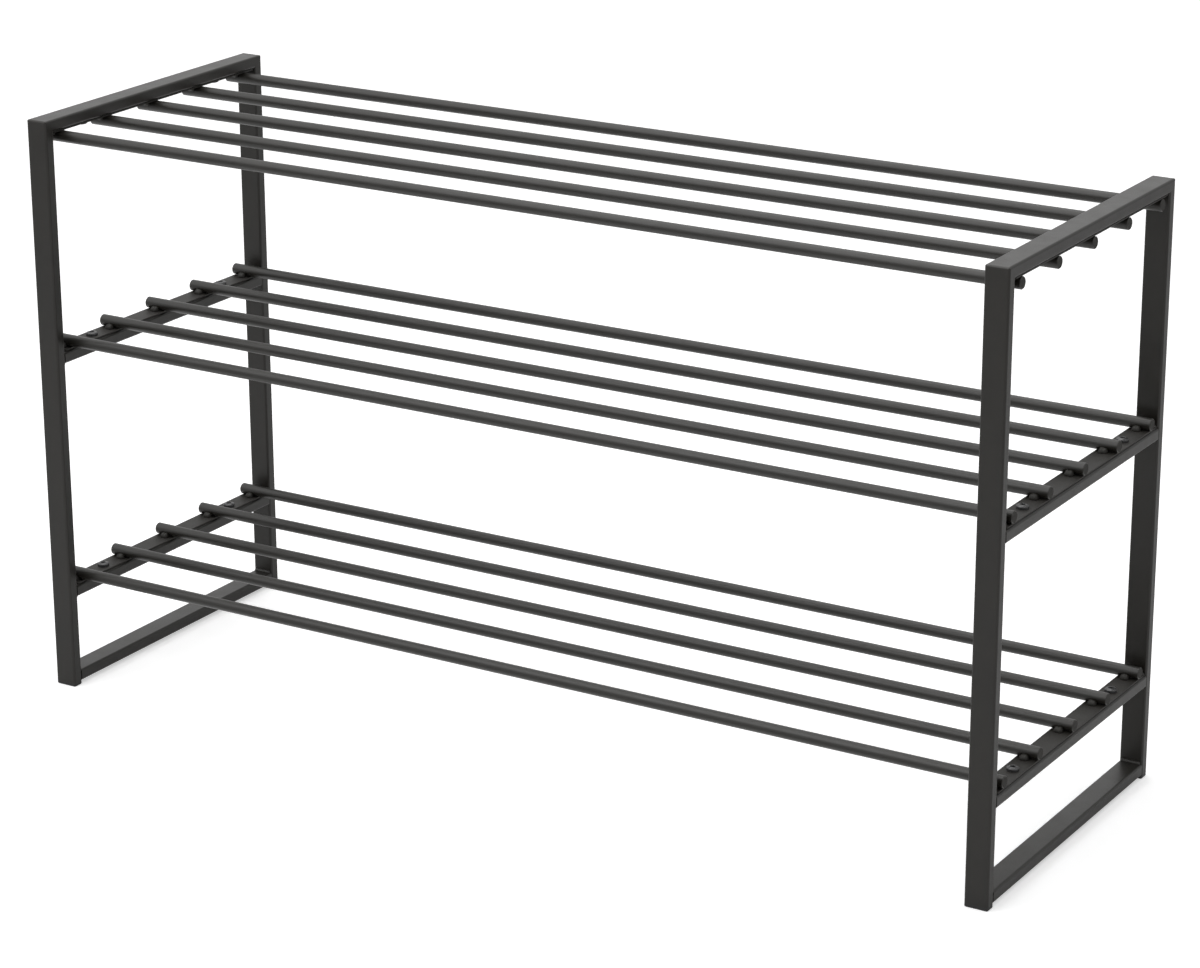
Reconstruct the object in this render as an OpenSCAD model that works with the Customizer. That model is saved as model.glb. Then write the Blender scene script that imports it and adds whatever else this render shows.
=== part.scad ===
// Three-tier shoe rack. Two welded end frames of flat tube carry three shelves of round rods.
// Each shelf has a plate at both ends, screwed into rivet nuts in the frame tubes.
// Millimetres. X runs along the rods, Y from front to rear and Z up.
// The origin is on the floor under the middle of the rack.

/* [Rack] */
// Overall width, over the outer faces of the end frames
rack_w = 712; // [400:1:1000]
// Overall depth, over the front and rear posts
rack_d = 239; // [190:1:320]
// Overall height, from the floor to the top of the rails
rack_h = 400; // [330:1:600]
// Height of the lower crossbar's underside
lower_bar_z = 64.5; // [30:0.5:140]
// Height of the middle crossbar's underside
middle_bar_z = 232; // [180:0.5:280]

/* [Frame tube] */
// Width of the tube's broad face, which looks to the front
tube_w = 16; // [14:0.5:24]
// Thickness of the tube in the plane of the end frame
tube_t = 8; // [7:0.5:14]
// Wall of the tube
tube_wall = 1; // [0.8:0.1:1.5]
// Outer corner radius of the tube
tube_r = 1.5; // [1:0.1:2.2]

/* [Frame welds] */
// Leg of a weld bead in the corners where rails and crossbars meet the posts
weld_leg = 1.8; // [1:0.1:3]
// Radius of the ground weld on the frame's outer top corners
corner_r = 1.3; // [0.5:0.1:1.5]

/* [Shelf rods] */
// Rods on each shelf
rod_count = 5; // [3:1:8]
// Diameter of a rod
rod_d = 7.8; // [6:0.2:10]
// Chamfer at a rod's ends
rod_chamfer = 0.5; // [0.2:0.1:1]
// Distance of a rod's end from the frame's outer face
rod_end_inset = 0; // [0:0.5:4]
// Gap between an outer rod and the post beside it
rod_edge_gap = 6.6; // [3:0.1:15]

/* [End plates] */
// Thickness of a shelf end plate
plate_t = 1; // [0.8:0.1:3]
// Distance of the plate's long edge from the tube's face
plate_side_inset = 0.9; // [0.3:0.1:2]
// Gap between the plate's end and the weld beside it
plate_end_gap = 0.4; // [0.2:0.1:3]
// Corner radius of the plate
plate_r = 1.5; // [0.5:0.1:3]

/* [Rod welds] */
// Gap between plate and rod, which the weld fills
rod_gap = 0.1; // [0.1:0.1:1]
// Height of a weld over the plate, and its reach past the rod's side
rod_weld_leg = 2; // [1.2:0.1:3]
// Length of a weld along its rod
rod_weld_l = 3; // [2:0.1:8]
// Distance of a weld's middle from the plate's middle, towards the rack's middle
rod_weld_shift = 1; // [0:0.1:2]

/* [Screws] */
// Distance of a screw from the middle between the outer two rods, towards the shelf's middle
screw_inset = 2.8; // [0:0.1:3.5]
// Thread diameter of a screw
screw_d = 4; // [3:0.5:5]
// Overlap of the button head round its screw's thread, on each side
head_lip = 2; // [1.6:0.1:2.4]
// Height of the head's straight side
head_side_h = 1.8; // [0.8:0.1:2.5]
// Height of the head's dome above its side
head_dome_h = 1; // [0.6:0.1:2]
// Width of the hexagon socket in the head, across its flats
socket_w = 3; // [2:0.1:3.6]
// Thickness of the head left under the socket
socket_floor = 1; // [0.6:0.1:1.4]
// Clearance of the screw in the plate's hole, on each side
screw_hole_gap = 0.25; // [0.1:0.05:0.5]
// Gap between the screw's tip and the tube's far wall
screw_tip_gap = 0.7; // [0.4:0.1:2]

/* [Rivet nuts] */
// Thickness of the nut's body round the thread
nut_body_wall = 1; // [0.7:0.1:1.2]
// Overlap of the nut's flange round its body, on each side
nut_flange_lip = 1.5; // [1:0.1:1.8]
// Thickness of the flange, which holds the plate off the tube
nut_flange_t = 0.3; // [0.2:0.1:1]
// Overlap of the collar that clamps the tube's wall from inside, on each side
nut_collar_lip = 1; // [0.5:0.1:1.4]
// Thickness of the collar
nut_collar_t = 1.6; // [1:0.1:2]
// Gap between the nut's tail and the tube's far wall
nut_tail_gap = 1.4; // [0.8:0.1:2]
// Clearance of the nut in the tube's hole, on each side
nut_hole_gap = 0.05; // [0.05:0.05:0.2]
// Clearance of the screw in the nut's thread, on each side
thread_gap = 0.05; // [0.05:0.05:0.2]

/* [Foot caps] */
// Thickness of the cap's sole under the post
foot_t = 2.5; // [1.5:0.1:5]
// Chamfer round the sole's lower edge
foot_chamfer = 0.6; // [0.3:0.1:0.9]
// How far the cap's plug reaches up the post
plug_h = 10; // [6:0.5:20]
// Wall of the hollow plug
plug_wall = 1.1; // [0.8:0.1:1.5]
// Clearance of the plug in the tube, on each side
plug_gap = 0.15; // [0.1:0.05:0.3]

/* [Hidden] */
$fn = 48;
overcut = 1;
least_r = 0.2;
socket_sides = 6;
frame_colour = "#38383a";
rod_colour = "#343436";
plate_colour = "#404042";
screw_colour = "#4a4a4c";
nut_colour = "#6a6a66";
foot_colour = "#1f1f20";
SIDES = ["left", "right"];
ENDS = ["front", "rear"];
TIERS = ["lower", "middle", "top"];

// Frame places
bar_x = (rack_w - tube_w) / 2;
post_y = (rack_d - tube_t) / 2;
inner_d = rack_d - 2 * tube_t;
tube_bore_r = max(tube_r - tube_wall, least_r);
top_rail_z = rack_h - tube_t;
bottom_rail_z = foot_t;
weld_l = tube_w - 2 * tube_r;

// Shelf places, along the rods' row and up from the face that the shelf is screwed to
rod_span = inner_d - 2 * rod_edge_gap - rod_d;
rod_pitch = rod_span / (rod_count - 1);
screw_y = rod_span / 2 - rod_pitch / 2 - screw_inset;
rod_l = rack_w - 2 * rod_end_inset;
plate_w = tube_w - 2 * plate_side_inset;
plate_l = inner_d - 2 * (weld_leg + plate_end_gap);
plate_z = nut_flange_t;
head_z = plate_z + plate_t;
rod_z = head_z + rod_gap + rod_d / 2;

// Fastener lengths, from the tube that they sit in
screw_l = head_z + tube_t - tube_wall - screw_tip_gap;
nut_body_l = tube_t - 2 * tube_wall - nut_tail_gap;

// Fastener diameters, from the thread outwards
head_d = screw_d + 2 * head_lip;
head_h = head_side_h + head_dome_h;
dome_r = (head_d * head_d / 4 + head_dome_h * head_dome_h) / (2 * head_dome_h);
socket_turn = 360 / socket_sides;
socket_r = socket_w / (2 * cos(socket_turn / 2));
nut_body_d = screw_d + 2 * (thread_gap + nut_body_wall);
nut_flange_d = nut_body_d + 2 * nut_flange_lip;
nut_collar_d = nut_body_d + 2 * nut_collar_lip;

// Plug of a foot cap, from the tube that it fits in
plug_w = tube_w - 2 * (tube_wall + plug_gap);
plug_d = tube_t - 2 * (tube_wall + plug_gap);
plug_r = max(tube_bore_r - plug_gap, least_r);
plug_bore_r = max(plug_r - plug_wall, least_r);

function side_sign(side) = side == "left" ? -1 : 1;
function end_sign(end) = end == "front" ? -1 : 1;
function rod_y(i) = (i - 1) * rod_pitch - rod_span / 2;

// Height of the tube face that carries a tier's shelf. The top shelf hangs under its rail.
function seat_z(tier) =
    tier == "top" ? top_rail_z
    : tier == "middle" ? middle_bar_z + tube_t
    : lower_bar_z + tube_t;
function seat_up(tier) = tier == "top" ? -1 : 1;

// Rectangle with round corners, centred
module round_rect(w, d, r) {
    square([w - 2 * r, d], center = true);
    square([w, d - 2 * r], center = true);
    for (x = [-1, 1])
        for (y = [-1, 1])
            translate([x * (w / 2 - r), y * (d / 2 - r)])
                circle(r);
}

// Flat tube along Z, with its broad face to the front
module tube(length) {
    linear_extrude(length)
        difference() {
            round_rect(tube_w, tube_t, tube_r);
            round_rect(tube_w - 2 * tube_wall, tube_t - 2 * tube_wall, tube_bore_r);
        }
}

// Flat tube along Y with its underside at the given height, centred front to rear
module level_tube(length, z) {
    translate([0, -length / 2, z + tube_t / 2])
        rotate([-90, 0, 0])
            tube(length);
}

// Wedge on one side of the front mitre plane, which runs down from the top front edge
module front_mitre(keep_rail) {
    front = -rack_d / 2 - overcut;
    inner = -rack_d / 2 + tube_t + overcut;
    top = rack_h + overcut;
    low = rack_h - tube_t - overcut;
    corner = keep_rail ? [front, low] : [inner, top];
    translate([-tube_w / 2 - overcut, 0, 0])
        rotate([90, 0, 90])
            linear_extrude(tube_w + 2 * overcut)
                polygon([[front, top], [inner, low], corner]);
}

// What the ground weld takes off the frame's sharp front top corner
module front_corner_cut() {
    translate([-tube_w / 2 - overcut, -rack_d / 2, rack_h])
        rotate([90, 0, 90])
            linear_extrude(tube_w + 2 * overcut)
                difference() {
                    translate([-overcut, -corner_r])
                        square(corner_r + overcut);
                    translate([corner_r, -corner_r])
                        circle(corner_r);
                }
}

// Local frame of one shelf end: centred on its tube, Z away from the tube's face
module on_seat(tier, side) {
    translate([side_sign(side) * bar_x, 0, seat_z(tier)])
        turn_over(tier == "top")
            children();
}

// Turns its children upside down when asked
module turn_over(over) {
    mirror([0, 0, over ? 1 : 0])
        children();
}

// Places a child at each of the two screws of an end plate
module at_screws() {
    for (e = ENDS)
        translate([0, end_sign(e) * screw_y, 0])
            children();
}

// Holes through the tube's wall for the rivet nuts, in the local frame of a shelf end
module nut_holes() {
    at_screws()
        translate([0, 0, -tube_wall - tube_bore_r])
            cylinder(d = nut_body_d + 2 * nut_hole_gap, h = tube_wall + tube_bore_r + overcut);
}

module post(side, end) {
    color(frame_colour)
        difference() {
            translate([side_sign(side) * bar_x, end_sign(end) * post_y, foot_t])
                tube(rack_h - foot_t);
            translate([side_sign(side) * bar_x, 0, 0])
                mirror([0, end == "rear" ? 1 : 0, 0]) {
                    front_mitre(false);
                    front_corner_cut();
                }
        }
}

module top_rail(side) {
    color(frame_colour)
        difference() {
            translate([side_sign(side) * bar_x, 0, 0])
                difference() {
                    level_tube(rack_d, top_rail_z);
                    for (end = [0, 1])
                        mirror([0, end, 0]) {
                            front_mitre(true);
                            front_corner_cut();
                        }
                }
            on_seat("top", side)
                nut_holes();
        }
}

module crossbar(side, tier, z) {
    color(frame_colour)
        difference() {
            translate([side_sign(side) * bar_x, 0, 0])
                level_tube(inner_d, z);
            on_seat(tier, side)
                nut_holes();
        }
}

module bottom_rail(side) {
    color(frame_colour)
        translate([side_sign(side) * bar_x, 0, 0])
            level_tube(inner_d, bottom_rail_z);
}

// Bead along X in the corner between a wall that faces +Y and a floor that faces +Z
module weld_bead() {
    intersection() {
        rotate([0, 90, 0])
            cylinder(r = weld_leg, h = weld_l, center = true);
        translate([-weld_l / 2, 0, 0])
            cube([weld_l, weld_leg, weld_leg]);
    }
}

// Beads above the bottom rail, over and under both crossbars, and under the top rail
module frame_welds(side) {
    above = [bottom_rail_z + tube_t, lower_bar_z + tube_t, middle_bar_z + tube_t];
    below = [lower_bar_z, middle_bar_z, top_rail_z];
    color(frame_colour)
        translate([side_sign(side) * bar_x, 0, 0])
            for (end = [0, 1])
                mirror([0, end, 0])
                    translate([0, -inner_d / 2, 0]) {
                        for (z = above)
                            translate([0, 0, z])
                                weld_bead();
                        for (z = below)
                            translate([0, 0, z])
                                turn_over(true)
                                    weld_bead();
                    }
}

// Rod with chamfered ends, centred on the origin along X
module rod_shape() {
    straight = rod_l - 2 * rod_chamfer;
    rotate([0, 90, 0]) {
        cylinder(d = rod_d, h = straight, center = true);
        for (turn = [0, 180])
            rotate([turn, 0, 0])
                translate([0, 0, straight / 2])
                    cylinder(d1 = rod_d, d2 = rod_d - 2 * rod_chamfer, h = rod_chamfer);
    }
}

module shelf_rod(tier, i) {
    color(rod_colour)
        translate([0, rod_y(i), seat_z(tier) + seat_up(tier) * rod_z])
            rod_shape();
}

// Cross-section of the weld between the plate's top and a rod, round at both toes
module rod_weld_profile() {
    reach = rod_d / 2 + rod_weld_leg;
    difference() {
        intersection() {
            union() {
                translate([-rod_d / 2, 0])
                    square([rod_d, rod_weld_leg]);
                for (toe = [-1, 1])
                    translate([toe * rod_d / 2, 0])
                        circle(rod_weld_leg);
            }
            translate([-reach, 0])
                square([2 * reach, rod_weld_leg]);
        }
        translate([0, rod_gap + rod_d / 2])
            circle(d = rod_d);
    }
}

// Flat strip with two screw holes and a weld under each rod
module end_plate(tier, side) {
    color(plate_colour)
        on_seat(tier, side) {
            translate([0, 0, plate_z])
                linear_extrude(plate_t)
                    difference() {
                        round_rect(plate_w, plate_l, plate_r);
                        at_screws()
                            circle(d = screw_d + 2 * screw_hole_gap);
                    }
            for (i = [1 : rod_count])
                translate([-side_sign(side) * rod_weld_shift, rod_y(i), head_z])
                    rotate([90, 0, 90])
                        linear_extrude(rod_weld_l, center = true)
                            rod_weld_profile();
        }
}

// Outline of the hexagon socket
module socket_profile() {
    polygon([for (i = [1 : socket_sides]) socket_r * [cos(i * socket_turn), sin(i * socket_turn)]]);
}

// Button-head screw with a hexagon socket, its head resting on the plate
module screw() {
    translate([0, 0, head_z])
        difference() {
            union() {
                intersection() {
                    cylinder(d = head_d, h = head_h);
                    translate([0, 0, head_h - dome_r])
                        sphere(dome_r);
                }
                translate([0, 0, -screw_l])
                    cylinder(d = screw_d, h = screw_l + socket_floor);
            }
            translate([0, 0, socket_floor])
                linear_extrude(head_h)
                    socket_profile();
        }
}

module screws(tier, side) {
    color(screw_colour)
        on_seat(tier, side)
            at_screws()
                screw();
}

// Rivet nut through the tube's wall: flange outside, clamping collar and threaded tail inside
module rivet_nut() {
    difference() {
        union() {
            cylinder(d = nut_flange_d, h = nut_flange_t);
            translate([0, 0, -tube_wall - nut_body_l])
                cylinder(d = nut_body_d, h = tube_wall + nut_body_l + nut_flange_t);
            translate([0, 0, -tube_wall - nut_collar_t])
                cylinder(d = nut_collar_d, h = nut_collar_t);
        }
        translate([0, 0, -tube_t])
            cylinder(d = screw_d + 2 * thread_gap, h = tube_t + nut_flange_t + overcut);
    }
}

module rivet_nuts(tier, side) {
    color(nut_colour)
        on_seat(tier, side)
            at_screws()
                rivet_nut();
}

// Cross-section of the sole, with both lower edges chamfered
module sole_profile(w) {
    half = w / 2;
    polygon([
        [foot_chamfer - half, 0],
        [half - foot_chamfer, 0],
        [half, foot_chamfer],
        [half, foot_t],
        [-half, foot_t],
        [-half, foot_chamfer]
    ]);
}

// Sole of the tube's own outline, chamfered round its lower edge
module foot_sole() {
    flat_w = tube_w - 2 * tube_r;
    flat_d = tube_t - 2 * tube_r;
    rotate([90, 0, 0])
        linear_extrude(flat_d, center = true)
            sole_profile(tube_w);
    rotate([90, 0, 90])
        linear_extrude(flat_w, center = true)
            sole_profile(tube_t);
    for (x = [-1, 1])
        for (y = [-1, 1])
            translate([x * flat_w / 2, y * flat_d / 2, 0]) {
                cylinder(r1 = tube_r - foot_chamfer, r2 = tube_r, h = foot_chamfer);
                translate([0, 0, foot_chamfer])
                    cylinder(r = tube_r, h = foot_t - foot_chamfer);
            }
}

module foot_cap(side, end) {
    color(foot_colour)
        translate([side_sign(side) * bar_x, end_sign(end) * post_y, 0]) {
            foot_sole();
            translate([0, 0, foot_t])
                linear_extrude(plug_h)
                    difference() {
                        round_rect(plug_w, plug_d, plug_r);
                        round_rect(plug_w - 2 * plug_wall, plug_d - 2 * plug_wall, plug_bore_r);
                    }
        }
}

for (s = SIDES) {
    for (e = ENDS) {
        post(s, e);
        foot_cap(s, e);
    }
    top_rail(s);
    crossbar(s, "middle", middle_bar_z);
    crossbar(s, "lower", lower_bar_z);
    bottom_rail(s);
    frame_welds(s);
    for (t = TIERS) {
        end_plate(t, s);
        screws(t, s);
        rivet_nuts(t, s);
    }
}
for (t = TIERS)
    for (i = [1 : rod_count])
        shelf_rod(t, i);
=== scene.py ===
"""Looks of a three-tier shoe rack.

Coated steel end frames, welded rod shelves, weld beads, screws, rivet nuts and foot caps.
"""

import math

import bpy
from bpy.props import FloatProperty, FloatVectorProperty, IntProperty, PointerProperty
from mathutils import Matrix, Vector


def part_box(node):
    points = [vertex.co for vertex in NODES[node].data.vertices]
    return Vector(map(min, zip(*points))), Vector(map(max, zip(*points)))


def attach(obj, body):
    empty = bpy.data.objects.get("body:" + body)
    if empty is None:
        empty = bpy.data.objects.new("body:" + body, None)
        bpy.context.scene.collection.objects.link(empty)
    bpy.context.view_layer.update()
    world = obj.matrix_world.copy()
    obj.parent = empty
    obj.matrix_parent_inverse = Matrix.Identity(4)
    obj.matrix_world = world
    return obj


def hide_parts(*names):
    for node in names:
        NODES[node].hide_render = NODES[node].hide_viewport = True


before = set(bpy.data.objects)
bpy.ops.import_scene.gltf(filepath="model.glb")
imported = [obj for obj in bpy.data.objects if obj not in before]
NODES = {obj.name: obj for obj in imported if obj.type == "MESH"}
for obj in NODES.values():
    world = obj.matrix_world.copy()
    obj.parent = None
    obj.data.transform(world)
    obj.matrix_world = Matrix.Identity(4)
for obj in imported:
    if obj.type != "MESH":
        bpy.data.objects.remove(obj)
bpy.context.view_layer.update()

bl_info = {
    "name": "Shoe Rack Finishing",
    "version": (1, 0, 0),
    "blender": (4, 5, 0),
    "location": "View3D > Sidebar > Shoe Rack",
    "description": "Welds, screws, coats and studio stage of a three-tier shoe rack",
    "category": "Object",
}

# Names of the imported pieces
SIDES = ("left", "right")
ENDS = ("front", "rear")
TIERS = ("lower", "middle", "top")
FRAME_TUBES = [f"{s}_{e}_post" for s in SIDES for e in ENDS] + [
    f"{s}_{bar}"
    for s in SIDES
    for bar in ("top_rail", "middle_crossbar", "lower_crossbar", "bottom_rail")
]
RODS = [n for n in NODES if "_rod_" in n]
END_PLATES = [n for n in NODES if n.endswith("_end_plate")]
RIVET_NUTS = [n for n in NODES if n.endswith("_rivet_nuts")]
FOOT_CAPS = [n for n in NODES if n.endswith("_foot_cap")]


def span(node, axis):
    """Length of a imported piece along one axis, in metres."""
    low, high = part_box(node)
    return high[axis] - low[axis]


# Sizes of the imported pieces, in metres
SCREW_LENGTH = span("lower_left_screws", 2)
HEAD_DIAMETER = span("lower_left_screws", 0)
FRAME_WELD_LENGTH = span("left_frame_welds", 0)
PLATE_THICKNESS = 0.001

# Modelling: distance at which points are one, and angle up to which faces shade as one
FINE = 1.0e-6
SMOOTH_ANGLE = math.radians(32.0)

# Weld beads: size and offset of a ripple and depth sunk into the steel, as shares of the leg
RIPPLE_LENGTH = 0.62
RIPPLE_WIDTH = 0.97
RIPPLE_OFFSET = 0.12
BEAD_SINK = 0.1
# Weld beads: how much the ripples swell, and the wave of it in radians, from each pattern's start
RIPPLE_SWELL = 0.07
RIPPLE_BEAT = 2.3
FRAME_WELD_PHASES = (0.4, 1.9, 4.1)
ROD_WELD_PHASES = (0.9, 2.6, 5.0)
# Weld beads: facets of a ripple, fineness of the skin, and how far it has flowed together
RIPPLE_SEGMENTS = 24
RIPPLE_RINGS = 12
VOXELS_PER_LEG = 8.0
FLOW_FACTOR = 0.5
FRAME_WELD_FLOW = 2
ROD_WELD_FLOW = 4
# Weld beads: quarter turns about X, by whether the wall faces the rear and whether the bead hangs
CORNER_TURNS = {
    (True, False): 0,
    (False, False): 1,
    (False, True): 2,
    (True, True): 3,
}

# Screws: facets of the sphere that a head is cut from, and steps of the head's rounding
DOME_RINGS = 96
ROUND_STEPS = 4
# Screws: share of the head's radius where its rim starts, and slant of faces that point down
RIM_SHARE = 0.99
FACES_DOWN = -0.9
# Screws: chamfered mouth of the socket, as shares of the socket's corner radius
MOUTH_FOOT = 0.8
MOUTH_TOP = 1.6
MOUTH_DEPTH = 0.8
# Screws: angles at which they were left, in radians
FIRST_TWIST = 0.35
PAIR_TWIST = 1.1
TIER_TWIST = 0.5
SIDE_TWIST = 0.8

# Finishes: depth of the relief and reach of the paler edges, a thinner coat with a painted
# highlight, in metres
COAT_RELIEF = 0.00002
SCREW_RELIEF = 0.00001
NUT_RELIEF = 0.000008
COAT_EDGE = 0.0007
METAL_EDGE = 0.0003
# Finishes: tints of the dark clouds, of the pale clouds and of the paler edges, and depth of that
# paling; the paler edges are a thinner coat with a painted highlight
COAT_TINTS = (0.86, 1.14, 1.9)
METAL_TINTS = (0.8, 1.2, 2.2)
COAT_EDGE_PALING_AND_HIGHLIGHT = 0.55
# Finishes: ranges over which the masks go from none to full
EDGE_RANGE = (0.03, 0.3)
BREAKUP_RANGE = (0.35, 0.65)
CLOUD_RANGE = (0.35, 0.65)
SHEEN_RANGE = (0.3, 0.7)
SHEARED_RANGE = (0.75, 0.95)

# Stage: the floor, and the distances over which the lamps' light on it fades, in metres
WHITE = (1.0, 1.0, 1.0, 1.0)
FLOOR_SIZE = 40.0
FLOOR_ROUGHNESS = 0.9
LIT_FLOOR = (1.2, 3.5)
# Stage: slants at which the rack's mirror image of the floor fades
MIRROR_SLANTS = (0.25, 0.6)
# Stage: way to the flag behind the rack, and the soft edges of the flags
FLAG_WAY = Vector((0.4, 0.8, 0.35)).normalized()
FLAG_EDGE = (0.72, 0.97)
END_FLAG_EDGE = (0.8, 0.95)
# Stage: places and sizes of the soft lights, in metres
LIGHT_AIM = (0.0, 0.0, 0.2)
OVERHEAD_PLACE = (-0.3, 0.1, 2.4)
OVERHEAD_SIZE = (3.0, 2.4)
SIDE_PLACE = (2.6, 0.2, 1.0)
SIDE_SIZE = (1.6, 1.6)
FRONT_PLACE = (-1.0, -1.9, 2.1)
FRONT_SIZE = (2.0, 1.4)
# Stage: the camera's sensor, in millimetres, and how far it sees, in metres
SENSOR_WIDTH = 36.0
VIEW_REACH = 100.0


class ShoeRackCoat(bpy.types.PropertyGroup):
    """Colours and texture of the coats."""

    frame_colour: FloatVectorProperty(
        name="Frame coat",
        description="Powder coat on the frame tubes and their welds",
        subtype="COLOR",
        size=4,
        min=0.0,
        max=1.0,
        default=(0.0098, 0.0086, 0.0064, 1.0),
    )
    rod_colour: FloatVectorProperty(
        name="Rod coat",
        description="Powder coat on the shelf rods",
        subtype="COLOR",
        size=4,
        min=0.0,
        max=1.0,
        default=(0.0098, 0.0086, 0.0064, 1.0),
    )
    plate_colour: FloatVectorProperty(
        name="Plate coat",
        description="Powder coat on the shelf end plates",
        subtype="COLOR",
        size=4,
        min=0.0,
        max=1.0,
        default=(0.0098, 0.0086, 0.0064, 1.0),
    )
    screw_colour: FloatVectorProperty(
        name="Screw finish",
        description="Blackened steel of the screws",
        subtype="COLOR",
        size=4,
        min=0.0,
        max=1.0,
        default=(0.06, 0.06, 0.061, 1.0),
    )
    nut_colour: FloatVectorProperty(
        name="Rivet nut finish",
        description="Dark zinc plating of the rivet nuts",
        subtype="COLOR",
        size=4,
        min=0.0,
        max=1.0,
        default=(0.12, 0.12, 0.118, 1.0),
    )
    cap_colour: FloatVectorProperty(
        name="Foot cap plastic",
        description="Moulded plastic of the foot caps",
        subtype="COLOR",
        size=4,
        min=0.0,
        max=1.0,
        default=(0.006, 0.006, 0.0062, 1.0),
    )
    peel_size: FloatProperty(
        name="Orange peel",
        description="Size of the soft waves in the powder coat",
        subtype="DISTANCE",
        unit="LENGTH",
        default=0.0016,
    )
    grain_size: FloatProperty(
        name="Grain",
        description="Size of the fine grain in the powder coat",
        subtype="DISTANCE",
        unit="LENGTH",
        default=0.00022,
    )
    end_roughness: FloatProperty(
        name="End roughness",
        description="Roughness of the coat on the sheared ends of the rods",
        default=0.85,
    )
    veil: FloatProperty(
        name="Veil",
        description="Strength of the pale veil that the grain gives a coat seen at a low angle",
        default=0.03,
    )
    veil_spread: FloatProperty(
        name="Veil spread",
        description="How far the veil reaches in from the outline of a coated piece",
        default=0.4,
    )


class ShoeRackFittings(bpy.types.PropertyGroup):
    """Sizes of the modelled welds and screws."""

    weld_leg: FloatProperty(
        name="Weld leg",
        description="Leg of a weld bead in a frame corner",
        subtype="DISTANCE",
        unit="LENGTH",
        default=0.0018,
    )
    weld_pitch: FloatProperty(
        name="Weld ripple",
        description="Distance between the ripples of a weld bead",
        subtype="DISTANCE",
        unit="LENGTH",
        default=0.00125,
    )
    rod_weld_leg: FloatProperty(
        name="Rod weld leg",
        description="Leg of a weld bead beside a rod, on its end plate",
        subtype="DISTANCE",
        unit="LENGTH",
        default=0.003,
    )
    rod_weld_length: FloatProperty(
        name="Rod weld length",
        description="Length of a weld bead along its rod",
        subtype="DISTANCE",
        unit="LENGTH",
        default=0.0054,
    )
    rod_weld_pitch: FloatProperty(
        name="Rod weld ripple",
        description="Distance between the ripples of a weld bead beside a rod",
        subtype="DISTANCE",
        unit="LENGTH",
        default=0.0012,
    )
    rod_weld_shift: FloatProperty(
        name="Rod weld shift",
        description="Distance of a rod's weld from the middle of its end plate, inwards",
        subtype="DISTANCE",
        unit="LENGTH",
        default=0.001,
    )
    head_height: FloatProperty(
        name="Head height",
        description="Height of a screw's button head",
        subtype="DISTANCE",
        unit="LENGTH",
        default=0.0028,
    )
    head_side: FloatProperty(
        name="Head side",
        description="Height of the straight side of a screw's head",
        subtype="DISTANCE",
        unit="LENGTH",
        default=0.0018,
    )
    head_round: FloatProperty(
        name="Head rounding",
        description="Width of the rounding between a screw head's side and top",
        subtype="DISTANCE",
        unit="LENGTH",
        default=0.0004,
    )
    shank_diameter: FloatProperty(
        name="Shank",
        description="Diameter of a screw's shank",
        subtype="DISTANCE",
        unit="LENGTH",
        default=0.004,
    )
    socket_width: FloatProperty(
        name="Socket width",
        description="Width of the hexagon socket in a screw's head, across its flats",
        subtype="DISTANCE",
        unit="LENGTH",
        default=0.003,
    )
    socket_depth: FloatProperty(
        name="Socket depth",
        description="Depth of the hexagon socket in a screw's head",
        subtype="DISTANCE",
        unit="LENGTH",
        default=0.0018,
    )
    turns: IntProperty(
        name="Facets",
        description="Facets round a screw's head",
        min=16,
        default=48,
    )


class ShoeRackStage(bpy.types.PropertyGroup):
    """Camera, floor and lights."""

    azimuth: FloatProperty(
        name="Azimuth",
        description="How far the camera stands round to the rack's right",
        subtype="ANGLE",
        unit="ROTATION",
        default=math.radians(31.27),
    )
    elevation: FloatProperty(
        name="Elevation",
        description="Height of the camera above the horizon",
        subtype="ANGLE",
        unit="ROTATION",
        default=math.radians(18.98),
    )
    roll: FloatProperty(
        name="Roll",
        description="Turn of the camera about its own line of sight",
        subtype="ANGLE",
        unit="ROTATION",
        default=-0.00276,
    )
    distance: FloatProperty(
        name="Distance",
        description="Distance from the camera to the point that it looks at",
        subtype="DISTANCE",
        unit="LENGTH",
        default=2.402,
    )
    target: FloatVectorProperty(
        name="Target",
        description="Point that the camera looks at",
        subtype="TRANSLATION",
        unit="LENGTH",
        size=3,
        default=(0.01276, 0.0, 0.17559),
    )
    lens: FloatProperty(
        name="Lens",
        description="Focal length in millimetres on a 36 mm sensor",
        default=109.92,
    )
    floor_colour: FloatVectorProperty(
        name="Floor",
        description="Colour of the pale studio floor",
        subtype="COLOR",
        size=4,
        min=0.0,
        max=1.0,
        default=(0.86, 0.86, 0.86, 1.0),
    )
    floor_glow: FloatProperty(
        name="Floor lift",
        description="How much the camera sees the floor near the rack lifted towards white",
        default=0.5,
    )
    far_floor_glow: FloatProperty(
        name="Far floor lift",
        description="How much the camera sees the floor far from the lamps lifted towards white",
        default=0.72,
    )
    floor_mirror: FloatProperty(
        name="Floor in reflections",
        description="How much the rack mirrors the floor straight under it lifted towards white",
        default=0.5,
    )
    flag_depth: FloatProperty(
        name="Flag",
        description="How much a black flag behind the rack on its right darkens its reflections",
        default=0.55,
    )
    end_flag_depth: FloatProperty(
        name="End flags",
        description="How much the black flags beyond the rack's two ends darken its reflections",
        default=0.8,
    )
    overhead_power: FloatProperty(
        name="Overhead light",
        description="Power of the wide soft light over the rack",
        unit="POWER",
        default=40.0,
    )
    side_power: FloatProperty(
        name="Side light",
        description="Power of the soft light on the rack's right",
        unit="POWER",
        default=4.0,
    )
    front_power: FloatProperty(
        name="Front light",
        description="Power of the soft light in front of the rack",
        unit="POWER",
        default=18.0,
    )
    ambient: FloatProperty(
        name="Ambient",
        description="Strength of the light that comes from all round",
        default=0.35,
    )


# Modelling helpers


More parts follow.
